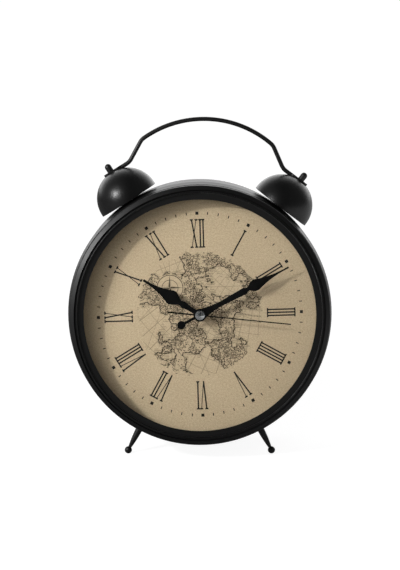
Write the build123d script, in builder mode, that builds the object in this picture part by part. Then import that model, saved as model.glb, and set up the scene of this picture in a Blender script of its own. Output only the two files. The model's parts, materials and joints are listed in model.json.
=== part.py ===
from build123d import *
import math
import os

# A twin-bell table clock with a quartz movement.
# Lengths are millimetres and angles are degrees.
# A height is measured along the clock's axis, forward from the face of the dial.
# A radius is measured out from the clock's axis.
# A bearing is an angle round the dial, clockwise from the top.

os.makedirs("parts", exist_ok=True)

# Clearances
running_fit = 0.05
slip_fit = 0.2
free_gap = 0.4
seat_gap = 0.02

# Dial and hands
dial_thickness = 2.0
hand_thickness = 0.5
hour_hand_height = 6.9
hand_spacing = 2.4
hour_bearing = 301.6
minute_bearing = 61.5
second_bearing = 95.7
hour_length = 61.4
minute_length = 93.0
second_length = 84.3
second_tail = 30.2
second_width = 1.0
second_tail_width = 1.4
minute_hub_radius = 6.0
hour_hub_radius = 5.0
second_hub_radius = 3.0
tail_disc_offset = 19.4
tail_disc_radius = 3.85
tail_width = 2.4
cap_radius = 4.35
cap_height = 1.3
cap_edge = 0.4

# One side of each leaf hand, as half widths and distances from the middle of the dial.
# Each bend is an arc, given by its middle point and its end.
hour_tip = 1.2
hour_bends = (
    ((2.2, 46.4), (5.9, 33.8)),
    ((6.75, 30.4), (5.4, 27.0)),
    ((4.1, 24.5), (2.4, 22.4)),
    ((2.5, 20.2), (3.3, 18.4)),
    ((2.4, 13.0), (2.4, 4.0)),
)
minute_tip = 0.85
minute_bends = (
    ((1.5, 76.0), (4.5, 62.0)),
    ((5.3, 58.2), (4.2, 54.8)),
    ((3.2, 53.0), (1.9, 51.4)),
    ((2.2, 49.0), (3.25, 47.2)),
    ((2.75, 36.0), (2.3, 23.0)),
    ((3.0, 12.5), (5.0, 3.0)),
)

# Lens, bezel ring and spacer
lens_clearance = 0.7
lens_thickness = 1.6
lens_gasket_thickness = 0.5
lens_gasket_width = 2.6
spacer_wall = 1.5
bezel_radius = 120.0
bezel_sheet = 1.2
bezel_edge = 0.5
band_width = 4.0
band_slope = 27.0
groove_width = 1.9
groove_depth = 1.7
ring_width = 1.5
ring_drop = 0.2
ring_rise = 2.6
flange_height = 0.6
flange_slope = 4.0
flange_width = 5.6
gasket_inset = 1.4

# Case drum and back cover
drum_flare = 2.5
drum_sheet = 0.8
drum_depth = 66.0
shoulder_height = 7.0
shoulder_width = 1.8
flare_length = 12.0
neck_drop = 1.0
dial_ledge_width = 6.0
back_ledge_width = 14.0
cover_thickness = 2.0
window_size = 92.0
window_corner = 5.0
screw_count = 4
screw_bearing = 45.0
screw_radius = 1.5
screw_length = 7.0
screw_head_radius = 2.9
screw_slot_width = 0.8
screw_slot_depth = 0.7

# Bells, posts and finials
bell_bearing = 34.9
bell_turn = 2.5
bell_depth = 26.0
bell_gap = 1.0
bell_radius = 28.9
bell_skirt = 2.1
bell_crown = 8.5
bell_wall = 1.0
post_radius = 3.0
stud_radius = 1.5
stud_tail = 5.0
finial_radius = 3.1
finial_length = 7.6
finial_cap = 1.4
nut_flats = 7.0
nut_thickness = 2.6

# Handle
rod_radius = 2.0
handle_lift = 26.9
handle_arc_radius = 97.0
handle_neck = 10.4
handle_bend_offset = 19.5
handle_bend_radius = 12.0
tab_thickness = 2.2
tab_width = 7.0
tab_tail = 7.5
tab_reach = 11.0
rod_end = 6.0

# Feet
foot_bearing = 27.5
leg_length = 22.6
ball_radius = 3.4
leg_top_radius = 3.2
leg_bulge = 0.35
leg_neck_radius = 1.5
foot_stud_radius = 2.0

# Movement housing
movement_depth = 16.0
movement_wall = 1.2
movement_corner = 3.0
stem_wall = 1.4
stem_height = 4.6
stem_gasket_thickness = 0.8
stem_gasket_radius = 12.0
stem_washer_thickness = 0.5
stem_washer_radius = 5.6
stem_nut_thickness = 2.2
stem_nut_flats = 10.0
pivot_depth = 0.8

# Wheels: teeth rise and fall from the pitch circle by shares of the module,
# and their half widths at root and tip are shares of the step from tooth to tooth
tooth_rise = 0.8
tooth_fall = 1.15
tooth_root_share = 0.22
tooth_tip_share = 0.1
gear_thickness = 0.8
pinion_overlap = 0.15
layer_pitch = 1.7
front_layers = 4
plate_thickness = 0.8
plate_gap = 0.5
plate_width = 43.0
plate_top = 14.8
pillar_radius = 1.8
arbor_radius = 0.5
hour_tube_wall = 0.75
minute_tube_wall = 1.15
journal_wall = 0.4
motion_tube_wall = 0.3
motion_distance = 6.0
train_distance = 9.0
transfer_distance = 6.0
rotor_distance = 5.25
motion_direction = 150.0
train_direction = 30.0
transfer_direction = 120.0
cannon_teeth = 12
motion_teeth = 36
motion_pinion_teeth = 10
hour_teeth = 40
setting_teeth = 12
second_pinion_teeth = 8
third_teeth = 60
third_pinion_teeth = 8
centre_teeth = 64
second_teeth = 40
transfer_pinion_teeth = 8
transfer_teeth = 36
rotor_pinion_teeth = 6
setting_arbor_radius = 1.0
knob_radius = 5.0
knob_thickness = 4.2
knob_grooves = 18
knob_groove_radius = 0.45

# Motor, electronics and battery
magnet_radius = 2.2
magnet_thickness = 1.2
stator_gap = 0.5
stator_rim = 0.9
stator_bar = 3.4
stator_width = 19.0
coil_level = 20.0
coil_radius = 3.1
core_width = 1.6
board_width = 15.0
board_height = 10.0
board_thickness = 0.8
board_margin = 1.0
crystal_radius = 1.0
crystal_length = 6.0
chip_size = 4.0
chip_thickness = 1.0
battery_radius = 7.1
battery_length = 49.2
nub_radius = 2.6
nub_length = 1.3
contact_thickness = 0.4
contact_size = 9.0
contact_rise = 1.53
dimple_radius = 2.2

# Heights that follow from the sizes above
minute_hand_height = hour_hand_height + hand_spacing
second_hand_height = minute_hand_height + hand_spacing
cap_seat = second_hand_height + hand_thickness
lens_back = cap_seat + cap_height + lens_clearance
lens_front = lens_back + lens_thickness
lip_bottom = lens_front + lens_gasket_thickness
ring_crest = lip_bottom + flange_height + ring_rise
band_crest = ring_crest + ring_drop
housing_front = -dial_thickness - stem_gasket_thickness
housing_back = housing_front - movement_depth
inner_front = housing_front - movement_wall
inner_back = housing_back + movement_wall
front_stack = (front_layers - 1) * layer_pitch + gear_thickness
middle_plate_front = inner_front - free_gap - front_stack - plate_gap
middle_plate_back = middle_plate_front - plate_thickness

# Radii that follow from the sizes above
drum_radius = bezel_radius + drum_flare
drum_inner = drum_radius - drum_sheet
neck_radius = bezel_radius - bezel_sheet - slip_fit
dial_radius = neck_radius - drum_sheet - slip_fit
cover_radius = drum_inner - slip_fit
back_ledge_radius = drum_inner - back_ledge_width
screw_circle = (back_ledge_radius + cover_radius) / 2
bell_seat = drum_radius + bell_gap
bell_middle = bell_seat + bell_skirt
bell_apex = bell_middle + math.sqrt(bell_radius**2 - bell_crown**2)
finial_seat = bell_apex + tab_thickness
band_radius = bezel_radius - band_width
groove_radius = band_radius - groove_width
ring_radius = groove_radius - ring_width
opening_radius = ring_radius - flange_width
minute_tube_radius = arbor_radius + running_fit + minute_tube_wall
hour_tube_radius = minute_tube_radius + running_fit + hour_tube_wall
stem_radius = hour_tube_radius + running_fit + stem_wall
journal_radius = arbor_radius + running_fit + journal_wall
motion_tube_radius = arbor_radius + running_fit + motion_tube_wall

# The battery bay sets the size of the movement.
bay_length = battery_length + nub_length + 2 * (contact_rise + seat_gap)
bay_height = 2 * (battery_radius + free_gap)
movement_size = bay_length + 2 * movement_wall
battery_wall_level = movement_size / 2 - 1.5 * movement_wall - bay_height
plate_bottom = battery_wall_level - movement_wall / 2 - free_gap

# The feet stand close behind the flare, with room for their nuts.
# The clock leans back on its two ball feet and the lowest point of the drum's rear edge.
foot_depth = flare_length - shoulder_height + nut_flats / 2 + slip_fit
foot_radius = drum_radius + leg_length
foot_drop = foot_radius * math.cos(math.radians(foot_bearing))
lever = drum_depth - foot_depth
rear_lift = foot_drop - drum_radius
lean = math.atan2(rear_lift, lever) + math.asin(ball_radius / math.hypot(lever, rear_lift))
axis_height = drum_depth * math.sin(lean) + drum_radius * math.cos(lean)
front_reach = band_crest * math.cos(lean) + band_radius * math.sin(lean)
rear_reach = drum_depth * math.cos(lean) + drum_radius * math.sin(lean)
axis_setback = (front_reach - rear_reach) / 2

# The face plane lies in the dial: x to the right, y up the dial, z forward out of the clock.
forward = Vector(0, -math.cos(lean), math.sin(lean))
face = Plane(origin=(0, axis_setback, axis_height), x_dir=(1, 0, 0), z_dir=forward)
clock_axis = Axis(face.origin, face.z_dir)

# The section plane holds the profiles of round pieces: x is the radius, y the height.
section = Plane(origin=face.origin, x_dir=face.x_dir, z_dir=-face.y_dir)


def keep(piece, name):
    """Label a finished piece and write it to a file of its own."""
    piece.part.label = name
    export_step(piece.part, f"parts/{name}.step")


def polar(distance, direction):
    """A point of the face plane, its direction counter-clockwise from the right."""
    return (distance * math.cos(math.radians(direction)), distance * math.sin(math.radians(direction)))


def beyond(point, distance, direction):
    """The point that lies a distance away from another in a direction."""
    step = polar(distance, direction)
    return (point[0] + step[0], point[1] + step[1])


def spoke(bearing, height):
    """A plane through the clock's axis: x is forward, y runs out along the bearing."""
    outward = face.x_dir * math.sin(math.radians(bearing)) + face.y_dir * math.cos(math.radians(bearing))
    return Plane(face.offset(height).origin, x_dir=face.z_dir, z_dir=face.z_dir.cross(outward))


def across(bearing, height, radius):
    """A plane square to a bearing: x is forward, z runs out along the bearing."""
    spoke_plane = spoke(bearing, height)
    seat = spoke_plane.origin + spoke_plane.y_dir * radius
    return Plane(seat, x_dir=face.z_dir, z_dir=spoke_plane.y_dir)


def along(bearing, height):
    """A plane parallel to the dial whose y axis points along a bearing."""
    rightward = spoke(bearing + 90, height).y_dir
    return Plane(face.offset(height).origin, x_dir=rightward, z_dir=face.z_dir)


def wheel_module(distance, teeth, other_teeth):
    """The module that makes two wheels mesh at a distance."""
    return 2 * distance / (teeth + other_teeth)


def tooth_outline(centre, teeth, module, turn):
    """The outline of a toothed wheel with slim straight teeth that run with free play."""
    pitch_radius = module * teeth / 2
    root = pitch_radius - tooth_fall * module
    tip = pitch_radius + tooth_rise * module
    step = 360 / teeth
    points = []
    for tooth in range(teeth):
        middle = turn + tooth * step
        points.append(beyond(centre, root, middle - tooth_root_share * step))
        points.append(beyond(centre, tip, middle - tooth_tip_share * step))
        points.append(beyond(centre, tip, middle + tooth_tip_share * step))
        points.append(beyond(centre, root, middle + tooth_root_share * step))
    return points


def meshed_turn(teeth, turn, other_teeth, direction):
    """The turn of a second wheel that puts its gap on a tooth of the first one."""
    step = 360 / teeth
    phase = ((direction - turn) / step) % 1
    return direction + 180 - (0.5 - phase) * 360 / other_teeth


def layer(index):
    """The front height of a layer of wheels, before the middle plate or behind it."""
    if index < front_layers:
        return inner_front - free_gap - index * layer_pitch
    return middle_plate_back - plate_gap - (index - front_layers) * layer_pitch


# Places of the arbors on the face plane
centre_point = (0, 0)
motion_point = polar(motion_distance, motion_direction)
setting_point = beyond(motion_point, motion_distance, motion_direction)
third_point = polar(train_distance, train_direction)
transfer_point = polar(transfer_distance, transfer_direction)
rotor_point = beyond(transfer_point, rotor_distance, transfer_direction)

# Modules of the meshing pairs
motion_module = wheel_module(motion_distance, cannon_teeth, motion_teeth)
hour_module = wheel_module(motion_distance, motion_pinion_teeth, hour_teeth)
third_module = wheel_module(train_distance, second_pinion_teeth, third_teeth)
centre_module = wheel_module(train_distance, third_pinion_teeth, centre_teeth)
second_module = wheel_module(transfer_distance, transfer_pinion_teeth, second_teeth)
rotor_module = wheel_module(rotor_distance, rotor_pinion_teeth, transfer_teeth)

# Turns that put each wheel in mesh, from one leading wheel of each train
motion_turn = meshed_turn(cannon_teeth, 0, motion_teeth, motion_direction)
hour_turn = meshed_turn(motion_pinion_teeth, 0, hour_teeth, motion_direction + 180)
setting_turn = meshed_turn(motion_teeth, motion_turn, setting_teeth, motion_direction)
third_turn = meshed_turn(second_pinion_teeth, 0, third_teeth, train_direction)
centre_turn = meshed_turn(third_pinion_teeth, 0, centre_teeth, train_direction + 180)
transfer_turn = meshed_turn(second_teeth, 0, transfer_pinion_teeth, transfer_direction)
rotor_turn = meshed_turn(transfer_teeth, 0, rotor_pinion_teeth, transfer_direction)

# Case drum: a pressed sheet with a flare and a neck for the bezel
with BuildPart() as case_drum:
    with BuildSketch(section):
        with BuildLine():
            flare_front = (neck_radius + shoulder_width, shoulder_height)
            flare_back = (drum_radius, shoulder_height - flare_length)
            Polyline(
                (drum_radius, -drum_depth),
                flare_back,
                flare_front,
                (neck_radius, shoulder_height),
                (neck_radius, lens_back - neck_drop),
                (neck_radius - drum_sheet, lens_back - neck_drop),
                (neck_radius - drum_sheet, shoulder_height - drum_sheet),
                (flare_front[0] - drum_sheet, shoulder_height - drum_sheet),
                (drum_inner, shoulder_height - flare_length),
                (drum_inner, -drum_depth),
                close=True,
            )
        make_face()
    revolve(axis=clock_axis)
    for bearing in (bell_turn - bell_bearing, bell_turn + bell_bearing):
        with BuildSketch(across(bearing, -bell_depth, drum_radius + drum_sheet)):
            Circle(stud_radius + slip_fit)
        extrude(amount=-3 * drum_sheet, mode=Mode.SUBTRACT)
    for bearing in (180 - foot_bearing, 180 + foot_bearing):
        with BuildSketch(across(bearing, -foot_depth, drum_radius + drum_sheet)):
            Circle(foot_stud_radius + slip_fit)
        extrude(amount=-3 * drum_sheet, mode=Mode.SUBTRACT)
keep(case_drum, "case_drum")

# Ledge inside the flare that the dial rests on
flare_share = (shoulder_height + dial_thickness - drum_sheet) / (flare_length - drum_sheet)
flare_inner = flare_front[0] - drum_sheet + (drum_radius - flare_front[0]) * flare_share
with BuildPart() as dial_ledge:
    with BuildSketch(face.offset(-dial_thickness)):
        Circle(flare_inner - seat_gap)
        Circle(dial_radius - dial_ledge_width, mode=Mode.SUBTRACT)
    extrude(amount=-drum_sheet)
keep(dial_ledge, "dial_ledge")

# Ledge inside the rear edge that the back cover is screwed to
with BuildPart() as back_ledge:
    with BuildSketch(face.offset(cover_thickness - drum_depth)):
        Circle(drum_inner - seat_gap)
        Circle(back_ledge_radius, mode=Mode.SUBTRACT)
        with PolarLocations(screw_circle, screw_count, start_angle=screw_bearing):
            Circle(screw_radius + running_fit, mode=Mode.SUBTRACT)
    extrude(amount=drum_sheet)
keep(back_ledge, "back_ledge")

# Bezel ring: a sloping outer band, a groove, a round inner ring and a flange that holds the glass
with BuildPart() as bezel_ring:
    with BuildSketch(section):
        band_drop = math.tan(math.radians(band_slope))
        flange_drop = flange_width * math.tan(math.radians(flange_slope))
        bead_radius = ring_width / 2
        bead_middle = (ring_radius + bead_radius, ring_crest - bead_radius)
        skirt_end = shoulder_height + free_gap
        with BuildLine():
            Polyline(
                (groove_radius, bead_middle[1]),
                (groove_radius, band_crest - groove_depth),
                (groove_radius + groove_width / 2, band_crest - groove_depth),
                (band_radius, band_crest),
                (bezel_radius - bezel_edge, band_crest - band_drop * (band_width - bezel_edge)),
                (bezel_radius, band_crest - band_drop * band_width - bezel_edge),
                (bezel_radius, skirt_end),
                (bezel_radius - bezel_sheet, skirt_end),
                (bezel_radius - bezel_sheet, lip_bottom),
                (opening_radius, lip_bottom),
                (opening_radius, lip_bottom + flange_height),
                (ring_radius, lip_bottom + flange_height + flange_drop),
                (ring_radius, bead_middle[1]),
            )
            CenterArc(bead_middle, bead_radius, 0, 180)
        make_face()
    revolve(axis=clock_axis)
keep(bezel_ring, "bezel_ring")

# Lens of flat glass
with BuildPart() as glass_lens:
    with BuildSketch(face.offset(lens_back)):
        Circle(dial_radius)
    extrude(amount=lens_thickness)
keep(glass_lens, "glass_lens")

# Gasket between the glass and the bezel's lip
with BuildPart() as lens_gasket:
    with BuildSketch(face.offset(lens_front)):
        Circle(opening_radius + gasket_inset + lens_gasket_width)
        Circle(opening_radius + gasket_inset, mode=Mode.SUBTRACT)
    extrude(amount=lens_gasket_thickness)
keep(lens_gasket, "lens_gasket")

# Spacer ring that holds the glass off the dial
with BuildPart() as spacer_ring:
    with BuildSketch(face):
        Circle(dial_radius)
        Circle(dial_radius - spacer_wall, mode=Mode.SUBTRACT)
    extrude(amount=lens_back)
keep(spacer_ring, "spacer_ring")

# Dial plate, bored for the movement's stem
with BuildPart() as dial_plate:
    with BuildSketch(face):
        Circle(dial_radius)
        Circle(stem_radius + slip_fit, mode=Mode.SUBTRACT)
    extrude(amount=-dial_thickness)
keep(dial_plate, "dial_plate")

# Back cover with a square window for setting the time and changing the battery
with BuildPart() as back_cover:
    with BuildSketch(face.offset(-drum_depth)):
        Circle(cover_radius)
        RectangleRounded(window_size, window_size, window_corner, mode=Mode.SUBTRACT)
    extrude(amount=cover_thickness)
    head_depth = screw_head_radius - screw_radius
    with BuildSketch(face.offset(-drum_depth)):
        with PolarLocations(screw_circle, screw_count, start_angle=screw_bearing):
            Circle(screw_head_radius + running_fit)
    extrude(amount=head_depth, taper=45, mode=Mode.SUBTRACT)
    with BuildSketch(face.offset(-drum_depth)):
        with PolarLocations(screw_circle, screw_count, start_angle=screw_bearing):
            Circle(screw_radius + running_fit)
    extrude(amount=cover_thickness, mode=Mode.SUBTRACT)
keep(back_cover, "back_cover")

# Countersunk screws that lie flush in the back cover
with BuildPart() as back_cover_screws:
    with BuildSketch(face.offset(-drum_depth)):
        with PolarLocations(screw_circle, screw_count, start_angle=screw_bearing):
            Circle(screw_head_radius)
    extrude(amount=head_depth, taper=45)
    with BuildSketch(face.offset(-drum_depth)):
        with PolarLocations(screw_circle, screw_count, start_angle=screw_bearing):
            Circle(screw_radius)
    extrude(amount=screw_length)
    with BuildSketch(face.offset(-drum_depth)):
        with PolarLocations(screw_circle, screw_count, start_angle=screw_bearing):
            Rectangle(2 * screw_head_radius, screw_slot_width)
    extrude(amount=screw_slot_depth, mode=Mode.SUBTRACT)
keep(back_cover_screws, "back_cover_screws")


def make_bell(name, bearing):
    """A hemispherical bell with a short straight skirt, a flat crown and a hole for its stud."""
    plane = spoke(bearing, -bell_depth)
    inner_radius = bell_radius - bell_wall
    inner_apex = bell_apex - bell_wall
    inner_crown = math.sqrt(inner_radius**2 - (inner_apex - bell_middle) ** 2)
    outer_slant = math.degrees(math.acos(bell_crown / bell_radius))
    inner_slant = math.degrees(math.acos(inner_crown / inner_radius))
    with BuildPart() as bell:
        with BuildSketch(plane):
            with BuildLine():
                CenterArc((0, bell_middle), bell_radius, 0, outer_slant)
                Polyline(
                    (bell_crown, bell_apex), (0, bell_apex), (0, inner_apex), (inner_crown, inner_apex)
                )
                CenterArc((0, bell_middle), inner_radius, 0, inner_slant)
                Polyline(
                    (inner_radius, bell_middle),
                    (inner_radius, bell_seat),
                    (bell_radius, bell_seat),
                    (bell_radius, bell_middle),
                )
            make_face()
        revolve(axis=Axis(plane.origin, plane.y_dir))
        with BuildSketch(across(bearing, -bell_depth, bell_apex)):
            Circle(stud_radius + slip_fit)
        extrude(amount=-2 * bell_wall, mode=Mode.SUBTRACT)
    keep(bell, name)


def make_bell_post(name, bearing):
    """A turned post: a stud through the drum, a shoulder under the bell, a stud up into the finial."""
    plane = spoke(bearing, -bell_depth)
    shoulder_top = bell_apex - bell_wall - seat_gap
    stud_top = finial_seat + finial_length - finial_cap - free_gap
    with BuildPart() as bell_post:
        with BuildSketch(plane):
            with BuildLine():
                Polyline(
                    (0, drum_inner - stud_tail),
                    (stud_radius, drum_inner - stud_tail),
                    (stud_radius, drum_radius),
                    (post_radius, drum_radius),
                    (post_radius, shoulder_top),
                    (stud_radius, shoulder_top),
                    (stud_radius, stud_top),
                    (0, stud_top),
                    close=True,
                )
            make_face()
        revolve(axis=Axis(plane.origin, plane.y_dir))
    keep(bell_post, name)


for side, bearing in (("left", bell_turn - bell_bearing), ("right", bell_turn + bell_bearing)):
    make_bell(f"bell_{side}", bearing)
    make_bell_post(f"bell_post_{side}", bearing)

# Domed finial nuts that clamp the handle and the bells
with BuildPart() as finial_nuts:
    for bearing in (bell_turn - bell_bearing, bell_turn + bell_bearing):
        finial_plane = spoke(bearing, -bell_depth)
        finial_top = finial_seat + finial_length
        with BuildSketch(finial_plane):
            with BuildLine():
                Polyline(
                    (0, finial_top),
                    (0, finial_top - finial_cap),
                    (stud_radius, finial_top - finial_cap),
                    (stud_radius, finial_seat),
                    (finial_radius, finial_seat),
                    (finial_radius, finial_top - finial_radius),
                )
                CenterArc((0, finial_top - finial_radius), finial_radius, 0, 90)
            make_face()
        revolve(axis=Axis(finial_plane.origin, finial_plane.y_dir))
keep(finial_nuts, "finial_nuts")


def make_inner_nuts(name, bearings, height, bore):
    """Hexagon nuts inside the drum, close under its wall."""
    corner = nut_flats / math.sqrt(3)
    seat = math.sqrt(drum_inner**2 - corner**2) - seat_gap
    with BuildPart() as nuts:
        for bearing in bearings:
            with BuildSketch(across(bearing, height, seat)):
                RegularPolygon(nut_flats / 2, 6, major_radius=False, rotation=30)
                Circle(bore, mode=Mode.SUBTRACT)
            extrude(amount=-nut_thickness)
    keep(nuts, name)


make_inner_nuts(
    "bell_post_nuts", (bell_turn - bell_bearing, bell_turn + bell_bearing), -bell_depth, stud_radius
)
make_inner_nuts("foot_nuts", (180 - foot_bearing, 180 + foot_bearing), -foot_depth, foot_stud_radius)

# Handle: a bent rod with flattened ends, drawn upright in the plane of the bells' axes
handle_plane = along(bell_turn, -bell_depth)
handle_top = bell_apex + handle_lift
rod_level = bell_apex + tab_thickness - rod_radius


def along_rod(distance):
    """A point of the rod's straight end over the right bell, measured in from the bell's axis."""
    bell_angle = math.radians(bell_bearing)
    return (
        rod_level * math.sin(bell_angle) - distance * math.cos(bell_angle),
        rod_level * math.cos(bell_angle) + distance * math.sin(bell_angle),
    )


def left_of(point):
    """The mirror image of a point on the handle's other side."""
    return (-point[0], point[1])


with BuildPart() as handle:
    with BuildLine(handle_plane) as handle_path:
        right_end = along_rod(rod_end)
        right_bend = along_rod(handle_bend_offset)
        shoulder_reach = right_bend[0] - handle_neck
        shoulder_drop = handle_arc_radius - math.sqrt(handle_arc_radius**2 - shoulder_reach**2)
        right_shoulder = (shoulder_reach, handle_top - shoulder_drop)
        Polyline(left_of(right_end), left_of(right_bend), left_of(right_shoulder))
        ThreePointArc(left_of(right_shoulder), (0, handle_top), right_shoulder)
        Polyline(right_shoulder, right_bend, right_end)
        upward = Axis(handle_plane.origin, handle_plane.y_dir)
        bends = handle_path.vertices().sort_by(upward)[2:]
        fillet(bends, radius=handle_bend_radius)
    with BuildSketch(Plane(origin=handle_path.line @ 0, z_dir=handle_path.line % 0)):
        Circle(rod_radius)
    sweep(path=handle_path.line)
    for bearing in (bell_turn - bell_bearing, bell_turn + bell_bearing):
        with Locations(spoke(bearing, -bell_depth).from_local_coords((0, bell_middle, 0))):
            Sphere(bell_radius + seat_gap, mode=Mode.SUBTRACT)
        inward = 1 if bearing < bell_turn else -1
        with BuildSketch(across(bearing, -bell_depth, bell_apex)):
            tab_centre = inward * (tab_reach - tab_tail) / 2
            with Locations((0, tab_centre)):
                SlotOverall(tab_reach + tab_tail, tab_width, rotation=90)
            Circle(stud_radius + slip_fit, mode=Mode.SUBTRACT)
        extrude(amount=tab_thickness)
keep(handle, "handle")


def make_foot(name, bearing):
    """A turned foot: a stud through the drum, a tapering leg and a ball."""
    plane = spoke(bearing, -foot_depth)
    neck_level = foot_radius - math.sqrt(ball_radius**2 - leg_neck_radius**2)
    middle = ((leg_top_radius + leg_neck_radius) / 2 + leg_bulge, (drum_radius + neck_level) / 2)
    with BuildPart() as foot:
        with BuildSketch(plane):
            with BuildLine():
                Polyline(
                    (0, foot_radius),
                    (0, drum_inner - stud_tail),
                    (foot_stud_radius, drum_inner - stud_tail),
                    (foot_stud_radius, drum_radius),
                    (leg_top_radius, drum_radius),
                )
                ThreePointArc((leg_top_radius, drum_radius), middle, (leg_neck_radius, neck_level))
                Line((leg_neck_radius, neck_level), (0, foot_radius))
            make_face()
        revolve(axis=Axis(plane.origin, plane.y_dir))
        with BuildSketch(plane):
            with BuildLine():
                CenterArc((0, foot_radius), ball_radius, -90, 180)
                Line((0, foot_radius - ball_radius), (0, foot_radius + ball_radius))
            make_face()
        revolve(axis=Axis(plane.origin, plane.y_dir))
    keep(foot, name)


make_foot("foot_right", 180 - foot_bearing)
make_foot("foot_left", 180 + foot_bearing)

# Movement housing: an open box with the threaded stem, bearings, pillars and the battery bay's wall
pillar_places = [
    (side * (plate_width / 2 - pillar_radius), level)
    for side in (-1, 1)
    for level in (plate_top - pillar_radius, pillar_radius - plate_bottom)
]
board_place = (
    movement_size / 2 - movement_wall - free_gap - board_width / 2,
    movement_size / 2 - movement_wall - free_gap - board_height / 2,
)
board_pillars = [
    (board_place[0] + side * (board_width / 2 - pillar_radius), board_place[1]) for side in (-1, 1)
]
board_front = layer(2)
with BuildPart() as movement_housing:
    with BuildSketch(face.offset(housing_front)):
        RectangleRounded(movement_size, movement_size, movement_corner)
    extrude(amount=-(movement_depth - movement_wall))
    with BuildSketch(face.offset(inner_front)):
        inner_size = movement_size - 2 * movement_wall
        RectangleRounded(inner_size, inner_size, movement_corner - movement_wall)
    extrude(amount=inner_back - inner_front, mode=Mode.SUBTRACT)
    with BuildSketch(face.offset(inner_front)):
        with Locations((0, -battery_wall_level)):
            Rectangle(inner_size, movement_wall)
    extrude(amount=inner_back - inner_front)
    with BuildSketch(face.offset(inner_front)):
        with Locations(*pillar_places):
            Circle(pillar_radius)
    extrude(amount=middle_plate_front - inner_front)
    with BuildSketch(face.offset(inner_front)):
        with Locations(*board_pillars):
            Circle(pillar_radius)
    extrude(amount=board_front - inner_front)
    with BuildSketch(face.offset(inner_front)):
        with Locations(motion_point):
            Circle(arbor_radius)
    extrude(amount=layer(2) + free_gap - inner_front)
    with BuildSketch(face.offset(housing_front)):
        Circle(stem_radius)
    extrude(amount=stem_height - housing_front)
    with BuildSketch(face.offset(inner_front)):
        Circle(hour_tube_radius + running_fit)
    extrude(amount=stem_height - inner_front, mode=Mode.SUBTRACT)
    with BuildSketch(face.offset(inner_front)):
        with Locations(third_point):
            Circle(arbor_radius + running_fit)
        with Locations(setting_point):
            Circle(setting_arbor_radius + running_fit)
    extrude(amount=pivot_depth, mode=Mode.SUBTRACT)
keep(movement_housing, "movement_housing")

# Rear cover of the movement, over the wheels but not over the battery
with BuildPart() as movement_cover:
    with BuildSketch(face.offset(inner_back)):
        cover_bottom = -battery_wall_level - movement_wall / 2
        cover_top = movement_size / 2
        with Locations((0, (cover_bottom + cover_top) / 2)):
            Rectangle(movement_size, cover_top - cover_bottom)
        with Locations(setting_point):
            Circle(setting_arbor_radius + running_fit, mode=Mode.SUBTRACT)
    extrude(amount=-movement_wall)
    with BuildSketch(face.offset(inner_back)):
        with Locations(centre_point, transfer_point, rotor_point):
            Circle(arbor_radius + running_fit)
    extrude(amount=-pivot_depth, mode=Mode.SUBTRACT)
keep(movement_cover, "movement_cover")

# Middle plate that carries the inner ends of the arbors
with BuildPart() as middle_plate:
    with BuildSketch(face.offset(middle_plate_front)):
        with Locations((0, (plate_top - plate_bottom) / 2)):
            Rectangle(plate_width, plate_top + plate_bottom)
        Circle(third_module * (second_pinion_teeth / 2 + tooth_rise) + free_gap, mode=Mode.SUBTRACT)
        with Locations(third_point, transfer_point, rotor_point):
            Circle(arbor_radius + running_fit, mode=Mode.SUBTRACT)
        with Locations(setting_point):
            Circle(setting_arbor_radius + free_gap, mode=Mode.SUBTRACT)
    extrude(amount=-plate_thickness)
keep(middle_plate, "middle_plate")


def make_stem_ring(name, height, outer, thickness):
    """A round washer on the movement's stem."""
    with BuildPart() as ring:
        with BuildSketch(face.offset(height)):
            Circle(outer)
            Circle(stem_radius + slip_fit, mode=Mode.SUBTRACT)
        extrude(amount=thickness)
    keep(ring, name)


make_stem_ring("stem_gasket", housing_front, stem_gasket_radius, stem_gasket_thickness)
make_stem_ring("stem_washer", 0, stem_washer_radius, stem_washer_thickness)

# Hexagon nut that clamps the movement to the dial
with BuildPart() as stem_nut:
    with BuildSketch(face.offset(stem_washer_thickness)):
        RegularPolygon(stem_nut_flats / 2, 6, major_radius=False)
        Circle(stem_radius, mode=Mode.SUBTRACT)
    extrude(amount=stem_nut_thickness)
keep(stem_nut, "stem_nut")


def draw_leaf(length, tip, bends):
    """The outline of a leaf hand, from its tip down to the middle of the dial on both sides."""
    Line((0, length), (tip, length))
    start = (tip, length)
    for middle, end in bends:
        ThreePointArc(start, middle, end)
        start = end
    Line(start, (start[0], 0))
    mirror(about=Plane.YZ)
    Line((start[0], 0), (-start[0], 0))


# Hour hand: a leaf on a collared neck
with BuildPart() as hour_hand:
    with BuildSketch(along(hour_bearing, hour_hand_height)):
        with BuildLine():
            draw_leaf(hour_length, hour_tip, hour_bends)
        make_face()
        Circle(hour_hub_radius)
        Circle(hour_tube_radius, mode=Mode.SUBTRACT)
    extrude(amount=hand_thickness)
keep(hour_hand, "hour_hand")

# Minute hand: a leaf on a long collared stem, with a disc on its tail
with BuildPart() as minute_hand:
    with BuildSketch(along(minute_bearing, minute_hand_height)):
        with BuildLine():
            draw_leaf(minute_length, minute_tip, minute_bends)
        make_face()
        Circle(minute_hub_radius)
        with Locations((0, -tail_disc_offset / 2)):
            Rectangle(tail_width, tail_disc_offset)
        with Locations((0, -tail_disc_offset)):
            Circle(tail_disc_radius)
        Circle(minute_tube_radius, mode=Mode.SUBTRACT)
    extrude(amount=hand_thickness)
keep(minute_hand, "minute_hand")

# Second hand: a plain needle with a straight tail
with BuildPart() as second_hand:
    with BuildSketch(along(second_bearing, second_hand_height)):
        with Locations((0, second_length / 2)):
            Rectangle(second_width, second_length)
        with Locations((0, -second_tail / 2)):
            Rectangle(second_tail_width, second_tail)
        Circle(second_hub_radius)
        Circle(arbor_radius, mode=Mode.SUBTRACT)
    extrude(amount=hand_thickness)
keep(second_hand, "second_hand")

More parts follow.
